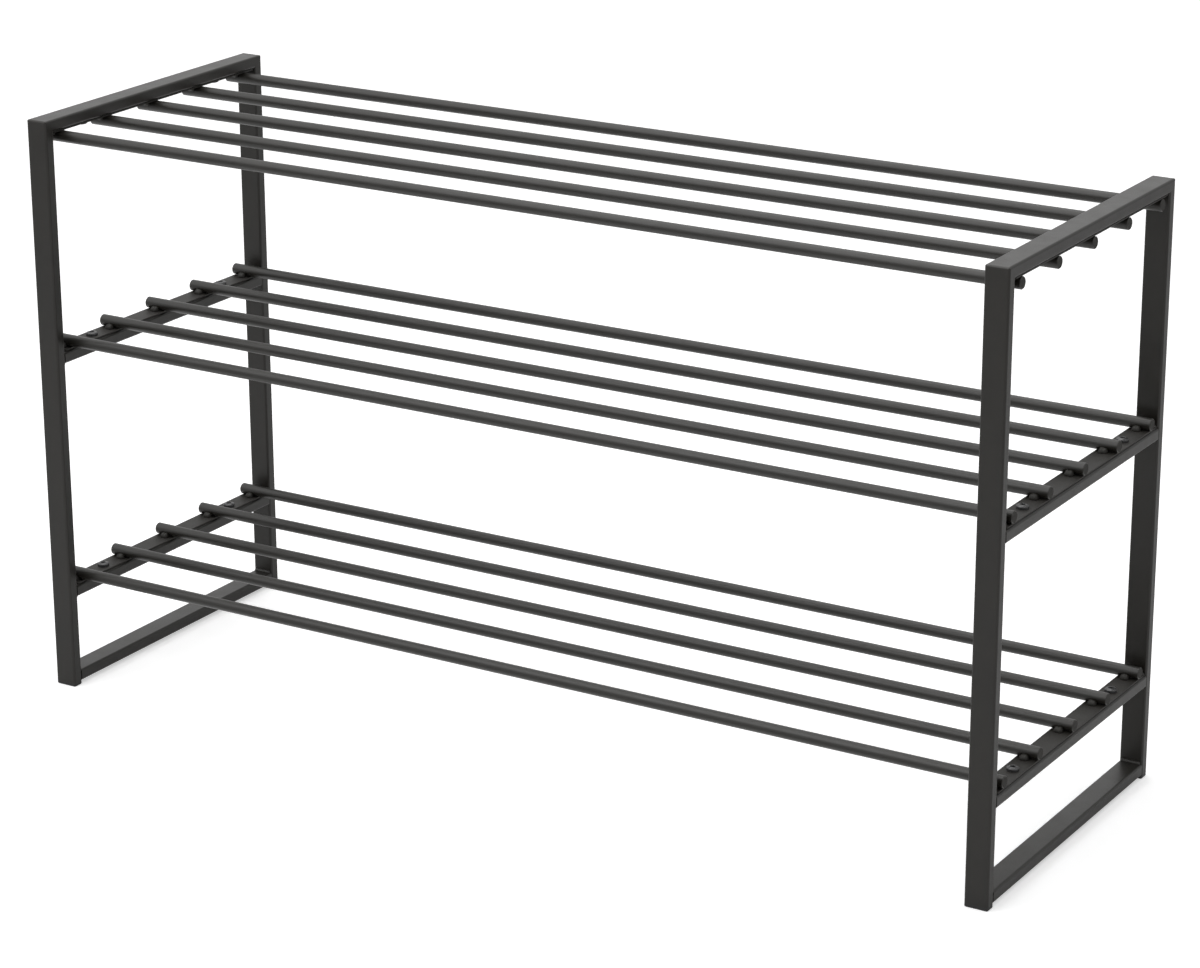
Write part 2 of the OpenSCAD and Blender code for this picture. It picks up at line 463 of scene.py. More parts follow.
def deselect_all():
    """Leaves nothing selected, in object mode."""
    if bpy.context.object and bpy.context.object.mode != "OBJECT":
        bpy.ops.object.mode_set(mode="OBJECT")
    bpy.ops.object.select_all(action="DESELECT")


def make_active(piece):
    """Selects one object alone and makes it active."""
    deselect_all()
    piece.select_set(True)
    bpy.context.view_layer.objects.active = piece


def select_faces(piece, wanted):
    """Goes into edit mode with just the faces selected for which wanted(normal) is true."""
    make_active(piece)
    bpy.ops.object.mode_set(mode="EDIT")
    bpy.ops.mesh.select_mode(type="FACE")
    bpy.ops.mesh.select_all(action="DESELECT")
    bpy.ops.object.mode_set(mode="OBJECT")
    chosen = 0
    for face in piece.data.polygons:
        face.select = wanted(face.normal)
        chosen += face.select
    if not chosen:
        raise RuntimeError(f"no face of {piece.name} fits the selection")
    bpy.ops.object.mode_set(mode="EDIT")


def select_edges(piece, wanted):
    """Goes into edit mode with just the edges selected for which wanted(end, end) is true."""
    make_active(piece)
    bpy.ops.object.mode_set(mode="EDIT")
    bpy.ops.mesh.select_mode(type="EDGE")
    bpy.ops.mesh.select_all(action="DESELECT")
    bpy.ops.object.mode_set(mode="OBJECT")
    points = piece.data.vertices
    chosen = 0
    for edge in piece.data.edges:
        first, second = (points[i].co for i in edge.vertices)
        edge.select = wanted(first, second)
        chosen += edge.select
    if not chosen:
        raise RuntimeError(f"no edge of {piece.name} fits the selection")
    bpy.ops.object.mode_set(mode="EDIT")


def tidy_skin():
    """Merges doubled points and turns all faces outward, then leaves edit mode."""
    bpy.ops.mesh.select_all(action="SELECT")
    bpy.ops.mesh.remove_doubles(threshold=FINE)
    bpy.ops.mesh.normals_make_consistent(inside=False)
    bpy.ops.object.mode_set(mode="OBJECT")


def cut_away(piece, point, normal):
    """Cuts off what lies on the far side of a plane, behind its normal."""
    make_active(piece)
    bpy.ops.object.mode_set(mode="EDIT")
    bpy.ops.mesh.select_all(action="SELECT")
    bpy.ops.mesh.bisect(
        plane_co=point, plane_no=normal, use_fill=True, clear_inner=True, threshold=FINE
    )
    tidy_skin()


def apply_modifier(piece, kind, name, **settings):
    """Adds one modifier with its settings and applies it."""
    make_active(piece)
    modifier = piece.modifiers.new(name, kind)
    for key, value in settings.items():
        setattr(modifier, key, value)
    bpy.ops.object.modifier_apply(modifier=modifier.name)


def join(pieces, name):
    """Joins objects into one, whose place is all in its mesh."""
    make_active(pieces[0])
    for other in pieces[1:]:
        other.select_set(True)
    if len(pieces) > 1:
        bpy.ops.object.join()
    whole = bpy.context.object
    bpy.ops.object.transform_apply(location=True, rotation=True, scale=True)
    whole.name = name
    whole.data.name = name
    return whole


def placed_copy(pattern, place):
    """Copies a modelled piece with a mesh of its own and puts it in its place."""
    make_active(pattern)
    bpy.ops.object.duplicate()
    copy = bpy.context.object
    copy.matrix_world = place
    bpy.ops.object.transform_apply(location=True, rotation=True, scale=True)
    return copy


def remove(piece):
    """Deletes a pattern that has served its purpose."""
    make_active(piece)
    bpy.ops.object.delete()


def finish_piece(piece, material, slot, *nodes):
    """Smooths a modelled piece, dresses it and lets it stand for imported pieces."""
    make_active(piece)
    bpy.ops.object.shade_smooth_by_angle(angle=SMOOTH_ANGLE)
    dress(piece, material)
    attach(piece, "root")
    if nodes:
        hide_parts(*nodes)


def dress(piece, material):
    """Gives an object one material."""
    piece.data.materials.clear()
    piece.data.materials.append(material)


# Material helpers


def add_node(tree, kind, place, **settings):
    """Adds a shader node at a place on the node sheet."""
    node = tree.nodes.new(kind)
    node.location = place
    for key, value in settings.items():
        setattr(node, key, value)
    return node


def new_group(name, inputs, outputs):
    """Starts a shader node group with named sockets and returns its tree and end nodes."""
    tree = bpy.data.node_groups.new(name, "ShaderNodeTree")
    for label, kind, default in inputs:
        socket = tree.interface.new_socket(label, in_out="INPUT", socket_type=kind)
        if default is not None:
            socket.default_value = default
    for label, kind in outputs:
        tree.interface.new_socket(label, in_out="OUTPUT", socket_type=kind)
    start = add_node(tree, "NodeGroupInput", (-900, 0))
    end = add_node(tree, "NodeGroupOutput", (900, 0))
    return tree, start, end


def math_node(tree, operation, place, first, second=None, clamp=False):
    """Adds a Math node fed by sockets or plain numbers and returns its output."""
    node = add_node(tree, "ShaderNodeMath", place, operation=operation, use_clamp=clamp)
    for socket, value in zip(node.inputs, (first, second)):
        if isinstance(value, bpy.types.NodeSocket):
            tree.links.new(value, socket)
        elif value is not None:
            socket.default_value = value
    return node.outputs[0]


def ranged(tree, place, value, source, result=(0.0, 1.0)):
    """Maps a value from one range to another, with soft ends."""
    node = add_node(tree, "ShaderNodeMapRange", place, interpolation_type="SMOOTHSTEP")
    tree.links.new(value, node.inputs["Value"])
    labels = ("From Min", "From Max", "To Min", "To Max")
    for label, number in zip(labels, (*source, *result)):
        node.inputs[label].default_value = number
    return node.outputs["Result"]


def noise(tree, place, vector, scale, detail, roughness):
    """Adds a noise texture and returns its value."""
    node = add_node(tree, "ShaderNodeTexNoise", place)
    tree.links.new(vector, node.inputs["Vector"])
    if isinstance(scale, bpy.types.NodeSocket):
        tree.links.new(scale, node.inputs["Scale"])
    else:
        node.inputs["Scale"].default_value = scale
    node.inputs["Detail"].default_value = detail
    node.inputs["Roughness"].default_value = roughness
    return node.outputs["Fac"]


def coat_grain_group():
    """Orange peel, fine grain and cloudy thickness of a sprayed and baked coat."""
    name = "Coat Grain"
    if name in bpy.data.node_groups:
        return bpy.data.node_groups[name]
    tree, start, end = new_group(
        name,
        (
            ("Vector", "NodeSocketVector", None),
            ("Peel Scale", "NodeSocketFloat", None),
            ("Grain Scale", "NodeSocketFloat", None),
            ("Peel Share", "NodeSocketFloat", None),
        ),
        (
            ("Height", "NodeSocketFloat"),
            ("Cloud", "NodeSocketFloat"),
            ("Sheen", "NodeSocketFloat"),
        ),
    )
    vector = start.outputs["Vector"]
    scale = start.outputs["Peel Scale"]
    peel = noise(tree, (-600, 300), vector, scale, detail=1.5, roughness=0.45)
    scale = start.outputs["Grain Scale"]
    grain = noise(tree, (-600, 80), vector, scale, detail=3.0, roughness=0.6)
    share = start.outputs["Peel Share"]
    rest = math_node(tree, "SUBTRACT", (-600, -80), 1.0, share)
    peel_part = math_node(tree, "MULTIPLY", (-300, 300), peel, share)
    grain_part = math_node(tree, "MULTIPLY", (-300, 80), grain, rest)
    height = math_node(tree, "ADD", (0, 200), peel_part, grain_part)
    broad = noise(tree, (-600, -220), vector, scale=9.0, detail=3.0, roughness=0.55)
    patchy = noise(tree, (-600, -420), vector, scale=70.0, detail=4.0, roughness=0.6)
    cloud = math_node(tree, "ADD", (-300, -260), broad, patchy)
    cloud = math_node(tree, "MULTIPLY", (0, -260), cloud, 0.5)
    fine = noise(tree, (-600, -620), vector, scale=1500.0, detail=2.0, roughness=0.5)
    sheen = math_node(tree, "ADD", (-300, -560), patchy, fine)
    sheen = math_node(tree, "MULTIPLY", (0, -560), sheen, 0.5)
    tree.links.new(height, end.inputs["Height"])
    tree.links.new(cloud, end.inputs["Cloud"])
    tree.links.new(sheen, end.inputs["Sheen"])
    return tree


def thin_coat_highlight_edge_group():
    """Mask that is bright along sharp edges, where a coat is thin and where a painted highlight
    stands in for the light the edges catch.
    """
    name = "Edge Fade"
    if name in bpy.data.node_groups:
        return bpy.data.node_groups[name]
    tree, start, end = new_group(
        name,
        (
            ("Vector", "NodeSocketVector", None),
            ("Radius", "NodeSocketFloat", None),
            ("Breakup", "NodeSocketFloat", 0.6),
        ),
        (("Mask", "NodeSocketFloat"),),
    )
    bevel = add_node(tree, "ShaderNodeBevel", (-600, 200), samples=4)
    tree.links.new(start.outputs["Radius"], bevel.inputs["Radius"])
    geometry = add_node(tree, "ShaderNodeNewGeometry", (-600, -40))
    turn = add_node(tree, "ShaderNodeVectorMath", (-350, 120), operation="DOT_PRODUCT")
    tree.links.new(bevel.outputs["Normal"], turn.inputs[0])
    tree.links.new(geometry.outputs["Normal"], turn.inputs[1])
    edge = math_node(tree, "SUBTRACT", (-120, 120), 1.0, turn.outputs["Value"])
    edge = ranged(tree, (80, 120), edge, EDGE_RANGE)
    vector = start.outputs["Vector"]
    broken = noise(tree, (-600, -300), vector, scale=420.0, detail=3.0, roughness=0.6)
    broken = ranged(tree, (-350, -300), broken, BREAKUP_RANGE)
    share = start.outputs["Breakup"]
    broken = math_node(tree, "MULTIPLY", (-120, -300), broken, share)
    whole = math_node(tree, "SUBTRACT", (80, -300), 1.0, share)
    broken = math_node(tree, "ADD", (280, -240), broken, whole)
    mask = math_node(tree, "MULTIPLY", (480, 40), edge, broken)
    tree.links.new(mask, end.inputs["Mask"])
    return tree


def place_group(tree, group, place, **values):
    """Puts a node group into a material with its own values."""
    node = add_node(tree, "ShaderNodeGroup", place)
    node.node_tree = group
    for label, value in values.items():
        node.inputs[label.replace("_", " ")].default_value = value
    return node


def tinted(colour, factor):
    """A colour made lighter or darker."""
    return (*(min(1.0, channel * factor) for channel in colour[:3]), 1.0)


def sheared_end(tree, place):
    """Mask that is one on the sheared ends of a piece that lies along X."""
    x, y = place
    geometry = add_node(tree, "ShaderNodeNewGeometry", place)
    split = add_node(tree, "ShaderNodeSeparateXYZ", (x + 200, y))
    tree.links.new(geometry.outputs["Normal"], split.inputs["Vector"])
    across = math_node(tree, "ABSOLUTE", (x + 400, y), split.outputs["X"])
    return ranged(tree, (x + 600, y), across, SHEARED_RANGE)


def new_material(name):
    """Starts a material and returns it with its node tree and its shader."""
    material = bpy.data.materials.new(name)
    material.use_nodes = True
    tree = material.node_tree
    return material, tree, tree.nodes["Principled BSDF"]


def finish_groups(tree, edge_reach, **grain_values):
    """Places the grain and the paler edges, a thinner coat with a painted highlight, in a
    material and returns what they put out.
    """
    coords = add_node(tree, "ShaderNodeTexCoord", (-1200, 0)).outputs["Object"]
    grain = place_group(tree, coat_grain_group(), (-900, 0), **grain_values)
    fade = place_group(tree, thin_coat_highlight_edge_group(), (-900, -300), Radius=edge_reach)
    for group in (grain, fade):
        tree.links.new(coords, group.inputs["Vector"])
    return grain.outputs, fade.outputs["Mask"]


def colour_with_pale_lit_edges(tree, shader, colour, tints, cloud, pale_edge_and_highlight):
    """Gives a shader a cloudy colour that pales along edges, where the coat is thinner and a
    highlight is painted.
    """
    dark, pale, edge_pale_highlight_tint = (tinted(colour, factor) for factor in tints)
    clouded = add_node(tree, "ShaderNodeMix", (-600, 200), data_type="RGBA")
    clouded.inputs["A"].default_value = dark
    clouded.inputs["B"].default_value = pale
    tree.links.new(cloud, clouded.inputs["Factor"])
    # Paler edge tint: a thinner coat, with a painted highlight of the light the edges catch
    edge_paled_and_highlighted = add_node(tree, "ShaderNodeMix", (-380, 120), data_type="RGBA")
    edge_paled_and_highlighted.inputs["B"].default_value = edge_pale_highlight_tint
    tree.links.new(pale_edge_and_highlight, edge_paled_and_highlighted.inputs["Factor"])
    tree.links.new(clouded.outputs["Result"], edge_paled_and_highlighted.inputs["A"])
    tree.links.new(edge_paled_and_highlighted.outputs["Result"], shader.inputs["Base Color"])


def fine_relief(tree, shader, height, depth):
    """Gives a shader the fine relief of its finish."""
    relief = add_node(tree, "ShaderNodeBump", (-380, -420))
    relief.inputs["Distance"].default_value = depth
    tree.links.new(height, relief.inputs["Height"])
    tree.links.new(relief.outputs["Normal"], shader.inputs["Normal"])


def coated_material(name, colour, coat, peel_share, rough_range, specular, sheared=False):
    """Matt powder coat on steel, a little paler along edges, where the coat is thin and a
    highlight is painted.
    """
    material, tree, shader = new_material(name)
    shader.inputs["Specular IOR Level"].default_value = specular
    shader.inputs["Sheen Weight"].default_value = coat.veil
    shader.inputs["Sheen Roughness"].default_value = coat.veil_spread
    grain, edges = finish_groups(
        tree,
        COAT_EDGE,
        Peel_Scale=1.0 / coat.peel_size,
        Grain_Scale=1.0 / coat.grain_size,
        Peel_Share=peel_share,
    )
    cloud = ranged(tree, (-780, 260), grain["Cloud"], CLOUD_RANGE)
    # Paler edges: a thinner coat plus a painted highlight where edges catch light
    pale_edge_and_highlight = math_node(tree, "MULTIPLY", (-600, -300), edges, COAT_EDGE_PALING_AND_HIGHLIGHT)
    colour_with_pale_lit_edges(tree, shader, colour, COAT_TINTS, cloud, pale_edge_and_highlight)
    rough = ranged(tree, (-380, -80), grain["Sheen"], SHEEN_RANGE, rough_range)
    if sheared:
        end = sheared_end(tree, (-1200, -640))
        dull = math_node(tree, "MULTIPLY", (-380, -640), end, coat.end_roughness)
        rough = math_node(tree, "MAXIMUM", (-180, -160), rough, dull)
    tree.links.new(rough, shader.inputs["Roughness"])
    fine_relief(tree, shader, grain["Height"], COAT_RELIEF)
    return material


def metal_material(name, colour, rough_range, relief, metallic):
    """Plated or blackened steel with fine tool marks, and edges painted brighter: a thinner
    finish there and a painted highlight.
    """
    material, tree, shader = new_material(name)
    shader.inputs["Metallic"].default_value = metallic
    grain, edges = finish_groups(
        tree, METAL_EDGE, Peel_Scale=900.0, Grain_Scale=5200.0, Peel_Share=0.3
    )
    # Brighter edges: a thinner finish plus a painted highlight where edges catch light
    colour_with_pale_lit_edges(tree, shader, colour, METAL_TINTS, grain["Cloud"], edges)
    rough = ranged(tree, (-380, -80), grain["Sheen"], SHEEN_RANGE, rough_range)
    tree.links.new(rough, shader.inputs["Roughness"])
    fine_relief(tree, shader, grain["Height"], relief)
    return material


def frame_coat():
    """The frame's powder coat, made on first use."""
    name = "frame_powder_coat"
    if name in bpy.data.materials:
        return bpy.data.materials[name]
    coat = bpy.context.scene.shoe_rack_coat
    return coated_material(
        name,
        coat.frame_colour,
        coat,
        peel_share=0.6,
        rough_range=(0.34, 0.44),
        specular=0.46,
    )


class SHOERACK_OT_frame_tubes(bpy.types.Operator):
    """Coats the posts, rails and crossbars of both end frames"""

    bl_idname = "shoerack.frame_tubes"
    bl_label = "Coat Frame Tubes"

    def execute(self, context):
        for name in FRAME_TUBES:
            dress(NODES[name], frame_coat())
        return {"FINISHED"}


class SHOERACK_OT_shelf_rods(bpy.types.Operator):
    """Coats the rods of the three shelves"""

    bl_idname = "shoerack.shelf_rods"
    bl_label = "Coat Shelf Rods"

    def execute(self, context):
        coat = context.scene.shoe_rack_coat
        material = coated_material(
            "rod_powder_coat",
            coat.rod_colour,
            coat,
            peel_share=0.5,
            rough_range=(0.34, 0.44),
            specular=0.5,
            sheared=True,
        )
        for name in RODS:
            dress(NODES[name], material)
        return {"FINISHED"}


def plate_coat():
    """The end plates' powder coat, made on first use."""
    name = "plate_powder_coat"
    if name in bpy.data.materials:
        return bpy.data.materials[name]
    coat = bpy.context.scene.shoe_rack_coat
    return coated_material(
        name,
        coat.plate_colour,
        coat,
        peel_share=0.6,
        rough_range=(0.5, 0.6),
        specular=0.35,
    )


class SHOERACK_OT_end_plates(bpy.types.Operator):
    """Coats the plates at the shelves' ends"""

    bl_idname = "shoerack.end_plates"
    bl_label = "Coat End Plates"

    def execute(self, context):
        for name in END_PLATES:
            dress(NODES[name], plate_coat())
        return {"FINISHED"}


def weld_pattern(name, leg, length, pitch, phase, flow):
    """Models one rippled bead in the corner between a wall facing +Y and a floor facing +Z."""
    count = round((length - leg) / pitch)
    ripples = []
    for i in range(count + 1):
        along = -0.5 * count * pitch + i * pitch
        swell = 1.0 + RIPPLE_SWELL * math.sin(RIPPLE_BEAT * i + phase)
        deselect_all()
        bpy.ops.mesh.primitive_uv_sphere_add(
            segments=RIPPLE_SEGMENTS,
            ring_count=RIPPLE_RINGS,
            radius=leg,
            location=(along, RIPPLE_OFFSET * leg, RIPPLE_OFFSET * leg),
        )
        bpy.ops.transform.resize(
            value=(RIPPLE_LENGTH, RIPPLE_WIDTH * swell, RIPPLE_WIDTH * swell)
        )
        ripples.append(bpy.context.object)
    bead = join(ripples, name)
    apply_modifier(bead, "REMESH", "One Skin", mode="VOXEL", voxel_size=leg / VOXELS_PER_LEG)
    apply_modifier(bead, "SMOOTH", "Flow", factor=FLOW_FACTOR, iterations=flow)
    sunk = -BEAD_SINK * leg
    cut_away(bead, (0.0, sunk, 0.0), (0.0, 1.0, 0.0))
    cut_away(bead, (0.0, 0.0, sunk), (0.0, 0.0, 1.0))
    return bead


def corner_place(spot, faces_rear, hung):
    """Place of a bead at a wall that faces the rear or the front, over or under a level face."""
    turn = CORNER_TURNS[faces_rear, hung] * math.pi / 2.0
    return Matrix.Translation(spot) @ Matrix.Rotation(turn, 4, "X")


class SHOERACK_OT_frame_welds(bpy.types.Operator):
    """Models the weld beads in the frames' inner corners"""

    bl_idname = "shoerack.frame_welds"
    bl_label = "Model Frame Welds"

    def execute(self, context):
        sizes = context.scene.shoe_rack_fittings
        patterns = [
            weld_pattern(
                f"weld_pattern_{i}",
                sizes.weld_leg,
                FRAME_WELD_LENGTH,
                sizes.weld_pitch,
                phase,
                FRAME_WELD_FLOW,
            )
            for i, phase in enumerate(FRAME_WELD_PHASES)
        ]
        for side in SIDES:
            self.weld_frame(side, patterns)
        for pattern in patterns:
            remove(pattern)
        return {"FINISHED"}

    def weld_frame(self, side, patterns):
        """Sets a bead into each inner corner of one end frame."""
        middle = sum(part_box(f"{side}_top_rail"), Vector()).x / 2.0
        corners = [(f"{side}_bottom_rail", False), (f"{side}_top_rail", True)]
        for bar in ("lower_crossbar", "middle_crossbar"):
            corners += [(f"{side}_{bar}", False), (f"{side}_{bar}", True)]
        beads = []
        for end in ENDS:
            low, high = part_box(f"{side}_{end}_post")
            faces_rear = end == "front"
            wall = high.y if faces_rear else low.y
            for bar, hung in corners:
                bottom, top = (corner.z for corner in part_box(bar))
                spot = (middle, wall, bottom if hung else top)
                place = corner_place(spot, faces_rear, hung)
                beads.append(placed_copy(patterns[len(beads) % len(patterns)], place))
        welds = join(beads, f"{side}_weld_beads")
        finish_piece(welds, frame_coat(), "frame", f"{side}_frame_welds")


class SHOERACK_OT_rod_welds(bpy.types.Operator):
    """Models the weld beads that hold the rods on their end plates"""

    bl_idname = "shoerack.rod_welds"
    bl_label = "Model Rod Welds"

    def execute(self, context):
        sizes = context.scene.shoe_rack_fittings
        patterns = [
            weld_pattern(
                f"rod_weld_pattern_{i}",
                sizes.rod_weld_leg,
                sizes.rod_weld_length,
                sizes.rod_weld_pitch,
                phase,
                ROD_WELD_FLOW,
            )
            for i, phase in enumerate(ROD_WELD_PHASES)
        ]
        for tier in TIERS:
            for side in SIDES:
                self.weld_shelf_end(tier, side, patterns, sizes.rod_weld_shift)
        for pattern in patterns:
            remove(pattern)
        return {"FINISHED"}

    def weld_shelf_end(self, tier, side, patterns, shift):
        """Sets a bead on both sides of each rod at one end plate."""
        low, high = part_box(f"{tier}_{side}_end_plate")
        middle = (low.x + high.x) / 2.0
        middle += shift if side == "left" else -shift
        hung = tier == "top"
        plate = high.z - PLATE_THICKNESS if hung else low.z + PLATE_THICKNESS
        beads = []
        for rod in (n for n in RODS if n.startswith(tier)):
            front, rear = (corner.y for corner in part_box(rod))
            for flank, faces_rear in ((front, False), (rear, True)):
                place = corner_place((middle, flank, plate), faces_rear, hung)
                beads.append(placed_copy(patterns[len(beads) % len(patterns)], place))
        welds = join(beads, f"{tier}_{side}_rod_welds")
        finish_piece(welds, plate_coat(), "plates")


def screw_pattern(sizes):
    """Models one button-head screw, with the underside of its head at the origin."""
    head_radius = HEAD_DIAMETER / 2.0
    dome = sizes.head_height - sizes.head_side
    dome_radius = (head_radius**2 + dome**2) / (2.0 * dome)
    deselect_all()
    bpy.ops.mesh.primitive_uv_sphere_add(
        segments=sizes.turns,
        ring_count=DOME_RINGS,
        radius=dome_radius,
        location=(0.0, 0.0, sizes.head_height - dome_radius),
    )
    bpy.ops.object.transform_apply(location=True, rotation=True, scale=True)
    screw = bpy.context.object
    cut_away(screw, (0.0, 0.0, sizes.head_side), (0.0, 0.0, 1.0))
    select_faces(screw, lambda normal: normal.z < FACES_DOWN)
    bpy.ops.mesh.extrude_region_move(
        TRANSFORM_OT_translate={"value": (0.0, 0.0, -sizes.head_side)}
    )
    shank_share = sizes.shank_diameter / HEAD_DIAMETER
    bpy.ops.mesh.extrude_region_move()
    bpy.ops.transform.resize(value=(shank_share, shank_share, 1.0))
    bpy.ops.mesh.extrude_region_move(
        TRANSFORM_OT_translate={"value": (0.0, 0.0, sizes.head_height - SCREW_LENGTH)}
    )
    tidy_skin()
    select_edges(
        screw,
        lambda *ends: all(
            abs(end.z - sizes.head_side) < FINE and end.xy.length > RIM_SHARE * head_radius
            for end in ends
        ),
    )
    bpy.ops.mesh.bevel(offset=sizes.head_round, segments=ROUND_STEPS)
    tidy_skin()
    return screw


def cut_socket(screw, sizes):
    """Sinks a hexagon socket with a chamfered mouth into a screw's head."""
    corner = sizes.socket_width / math.sqrt(3.0)
    deselect_all()
    bpy.ops.mesh.primitive_cylinder_add(
        vertices=6,
        radius=corner,
        depth=2.0 * sizes.socket_depth,
        location=(0.0, 0.0, sizes.head_height),
    )
    bpy.ops.object.transform_apply(location=True, rotation=True, scale=True)
    key = bpy.context.object
    deselect_all()
    bpy.ops.mesh.primitive_cone_add(
        vertices=sizes.turns,
        radius1=MOUTH_FOOT * corner,
        radius2=MOUTH_TOP * corner,
        depth=MOUTH_DEPTH * corner,
        location=(0.0, 0.0, sizes.head_height),
    )
    bpy.ops.object.transform_apply(location=True, rotation=True, scale=True)
    mouth = bpy.context.object
    for cutter in (key, mouth):
        apply_modifier(
            screw, "BOOLEAN", "Socket", object=cutter, operation="DIFFERENCE", solver="EXACT"
        )
        remove(cutter)
    make_active(screw)
    bpy.ops.object.mode_set(mode="EDIT")
    tidy_skin()


class SHOERACK_OT_button_screws(bpy.types.Operator):
    """Models the button-head screws that hold the end plates"""

    bl_idname = "shoerack.button_screws"
    bl_label = "Model Screws"

    def execute(self, context):
        sizes = context.scene.shoe_rack_fittings
        material = metal_material(
            "blackened_screw",
            context.scene.shoe_rack_coat.screw_colour,
            rough_range=(0.2, 0.32),
            relief=SCREW_RELIEF,
            metallic=0.35,
        )
        pattern = screw_pattern(sizes)
        cut_socket(pattern, sizes)
        for tier in TIERS:
            for side in SIDES:
                self.set_screws(tier, side, pattern, sizes, material)
        remove(pattern)
        return {"FINISHED"}

    def set_screws(self, tier, side, pattern, sizes, material):
        """Puts a pair of screws through one end plate."""
        node = f"{tier}_{side}_screws"
        low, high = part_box(node)
        middle = (low + high) / 2.0
        hung = tier == "top"
        seat = low.z + sizes.head_height if hung else high.z - sizes.head_height
        pair = []
        for i, along in enumerate((low.y + HEAD_DIAMETER / 2.0, high.y - HEAD_DIAMETER / 2.0)):
            twist = FIRST_TWIST + PAIR_TWIST * i + TIER_TWIST * TIERS.index(tier)
            twist += SIDE_TWIST * SIDES.index(side)
            place = Matrix.Translation((middle.x, along, seat))
            if hung:
                place = place @ Matrix.Rotation(math.pi, 4, "X")
            pair.append(placed_copy(pattern, place @ Matrix.Rotation(twist, 4, "Z")))
        finish_piece(join(pair, f"{tier}_{side}_button_screws"), material, "screws", node)


class SHOERACK_OT_rivet_nuts(bpy.types.Operator):
    """Plates the rivet nuts in the frame tubes"""

    bl_idname = "shoerack.rivet_nuts"
    bl_label = "Plate Rivet Nuts"

    def execute(self, context):
        material = metal_material(
            "dark_zinc",
            context.scene.shoe_rack_coat.nut_colour,
            rough_range=(0.35, 0.5),
            relief=NUT_RELIEF,
            metallic=0.9,
        )
        for name in RIVET_NUTS:
            dress(NODES[name], material)
        return {"FINISHED"}


class SHOERACK_OT_foot_caps(bpy.types.Operator):
    """Gives the foot caps their moulded plastic"""

    bl_idname = "shoerack.foot_caps"
    bl_label = "Mould Foot Caps"

    def execute(self, context):
        coat = context.scene.shoe_rack_coat
        material = coated_material(
            "foot_plastic",
            coat.cap_colour,
            coat,
            peel_share=0.25,
            rough_range=(0.42, 0.55),
            specular=0.5,
        )
        for name in FOOT_CAPS:
            dress(NODES[name], material)
        return {"FINISHED"}


def camera_pose(stage):
    """Where the camera stands and how it is turned."""
    a, e = stage.azimuth, stage.elevation
    back = Vector((math.sin(a) * math.cos(e), -math.cos(a) * math.cos(e), math.sin(e)))
    turned = (-back).to_track_quat("-Z", "Y").to_matrix().to_4x4()
    spot = Vector(stage.target) + back * stage.distance
    return Matrix.Translation(spot) @ turned @ Matrix.Rotation(stage.roll, 4, "Z")


def soft_light(name, place, size, power):
    """Adds a wide area light that points at the rack."""
    lamp = bpy.data.lights.new(name, "AREA")
    lamp.shape = "RECTANGLE"
    lamp.size, lamp.size_y = size
    lamp.energy = power
    holder = bpy.data.objects.new(name, lamp)
    bpy.context.scene.collection.objects.link(holder)
    holder.location = place
    way = Vector(LIGHT_AIM) - Vector(place)
    holder.rotation_euler = way.to_track_quat("-Z", "Y").to_euler()


def seen_white(tree, place):
    """Sockets that are one for rays that see the studio as white, and one for reflections."""
    path = add_node(tree, "ShaderNodeLightPath", place)
    seen = math_node(
        tree,
        "ADD",
        (place[0] + 220, place[1]),
        path.outputs["Is Camera Ray"],
        path.outputs["Is Transmission Ray"],
        clamp=True,
    )
    return seen, path.outputs["Is Glossy Ray"]


